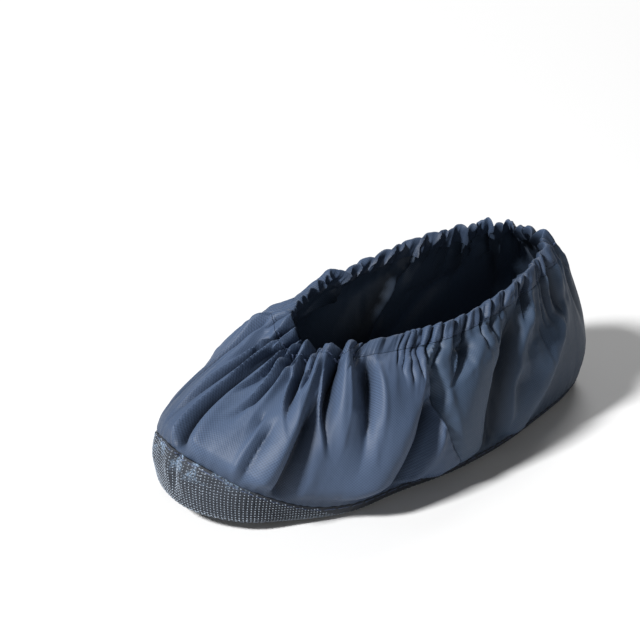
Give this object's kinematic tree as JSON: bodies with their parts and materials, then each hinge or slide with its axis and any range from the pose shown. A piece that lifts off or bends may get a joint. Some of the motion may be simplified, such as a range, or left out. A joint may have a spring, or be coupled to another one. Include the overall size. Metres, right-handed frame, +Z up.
{
  "type": "overshoe",
  "caption": "Reusable cloth overshoe for the left foot: gathered elastic opening, soft folded upper in a front and a heel piece, and a grip-dotted sole that climbs over the toe.",
  "frame": {"origin": "on the ground under the middle of the whole overshoe's box", "axes": "+Z up from the tread, -Y towards the toe, +X towards the outer side of the left foot"},
  "size_m": [0.1344, 0.3188, 0.1061],
  "materials": {
    "sole": "dark woven cloth with small pale rubbery grip dots",
    "front_upper": "navy nylon with a faint satin shine and a fine slanting weave",
    "heel_upper": "navy nylon with a faint satin shine and a fine slanting weave",
    "elastic_collar": "navy nylon gathered over an elastic"
  },
  "bodies": {
    "root": {"sole": "sole", "front_upper": "front_upper", "heel_upper": "heel_upper", "elastic_collar": "elastic_collar"}
  },
  "joints": []
}
